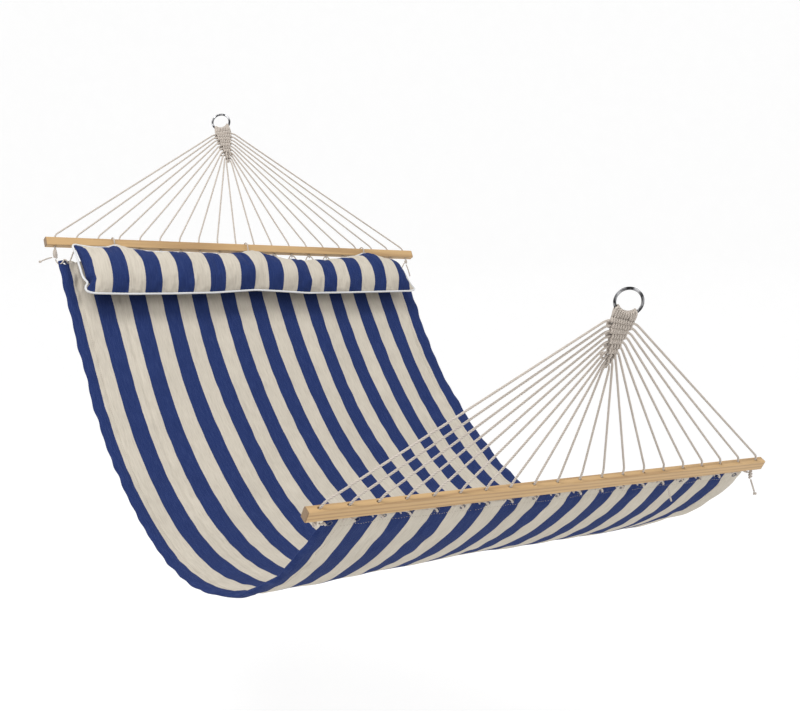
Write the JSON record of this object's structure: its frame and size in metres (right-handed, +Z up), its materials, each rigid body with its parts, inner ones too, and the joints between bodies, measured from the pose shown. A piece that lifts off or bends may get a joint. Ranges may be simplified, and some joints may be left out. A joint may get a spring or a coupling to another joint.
{
  "type": "spreader bar hammock",
  "caption": "Quilted two-person hammock with wooden spreader bars, woven cord clews, steel hanging rings and a tied-on pillow.",
  "frame": {"origin": "centre of the head ring, where a hook or a hanging strap goes", "axes": "+X from the head ring to the foot ring, level; +Y along the spreader bars; +Z up"},
  "size_m": [2.0624, 1.4227, 1.393],
  "materials": {
    "striped_cloth": "navy and cream woven cotton-polyester, matt",
    "natural_cord": "twisted cotton-polyester cord, natural grey-beige",
    "polyester_wadding": "white fibre",
    "white_piping": "white piping, matt",
    "pine": "clear satin varnish",
    "chrome_steel": "polished plating"
  },
  "bodies": {
    "hanging_rings": {"head_ring": "chrome_steel", "foot_ring": "chrome_steel", "head_ring_loops": "natural_cord", "foot_ring_loops": "natural_cord"},
    "hammock": {"head_clew_cord_01": "natural_cord", "head_clew_cord_02": "natural_cord", "head_clew_cord_03": "natural_cord", "head_clew_cord_04": "natural_cord", "head_clew_cord_05": "natural_cord", "head_clew_cord_06": "natural_cord", "head_clew_cord_07": "natural_cord", "head_clew_cord_08": "natural_cord", "head_clew_cord_09": "natural_cord", "head_clew_cord_10": "natural_cord", "foot_clew_cord_01": "natural_cord", "foot_clew_cord_02": "natural_cord", "foot_clew_cord_03": "natural_cord", "foot_clew_cord_04": "natural_cord", "foot_clew_cord_05": "natural_cord", "foot_clew_cord_06": "natural_cord", "foot_clew_cord_07": "natural_cord", "foot_clew_cord_08": "natural_cord", "foot_clew_cord_09": "natural_cord", "foot_clew_cord_10": "natural_cord", "head_clew_weave": "natural_cord", "foot_clew_weave": "natural_cord", "head_lacing": "natural_cord", "foot_lacing": "natural_cord", "stopper_knots": "natural_cord", "head_left_tail": "natural_cord", "head_right_tail": "natural_cord", "foot_right_tail": "natural_cord", "foot_middle_tail": "natural_cord", "head_spreader_bar": "pine", "foot_spreader_bar": "pine", "bed_top_cloth": "striped_cloth", "bed_under_cloth": "striped_cloth", "bed_wadding": "polyester_wadding"},
    "pillow": {"pillow_cover": "striped_cloth", "pillow_filling": "polyester_wadding", "pillow_piping": "white_piping", "pillow_tie_1": "natural_cord", "pillow_tie_2": "natural_cord", "pillow_tie_3": "natural_cord"}
  },
  "joints": [
    {"name": "swing", "type": "hinge", "parent": "hanging_rings", "child": "hammock", "pos_m": [0, 0, 0], "axis": [0.9498, 0, -0.313], "range_deg": [-25, 25]},
    {"name": "pillow_flip", "type": "hinge", "parent": "hammock", "child": "pillow", "pos_m": [0.19353, 0, -0.46493], "axis": [0, -1, 0], "range_deg": [0, 110]}
  ]
}
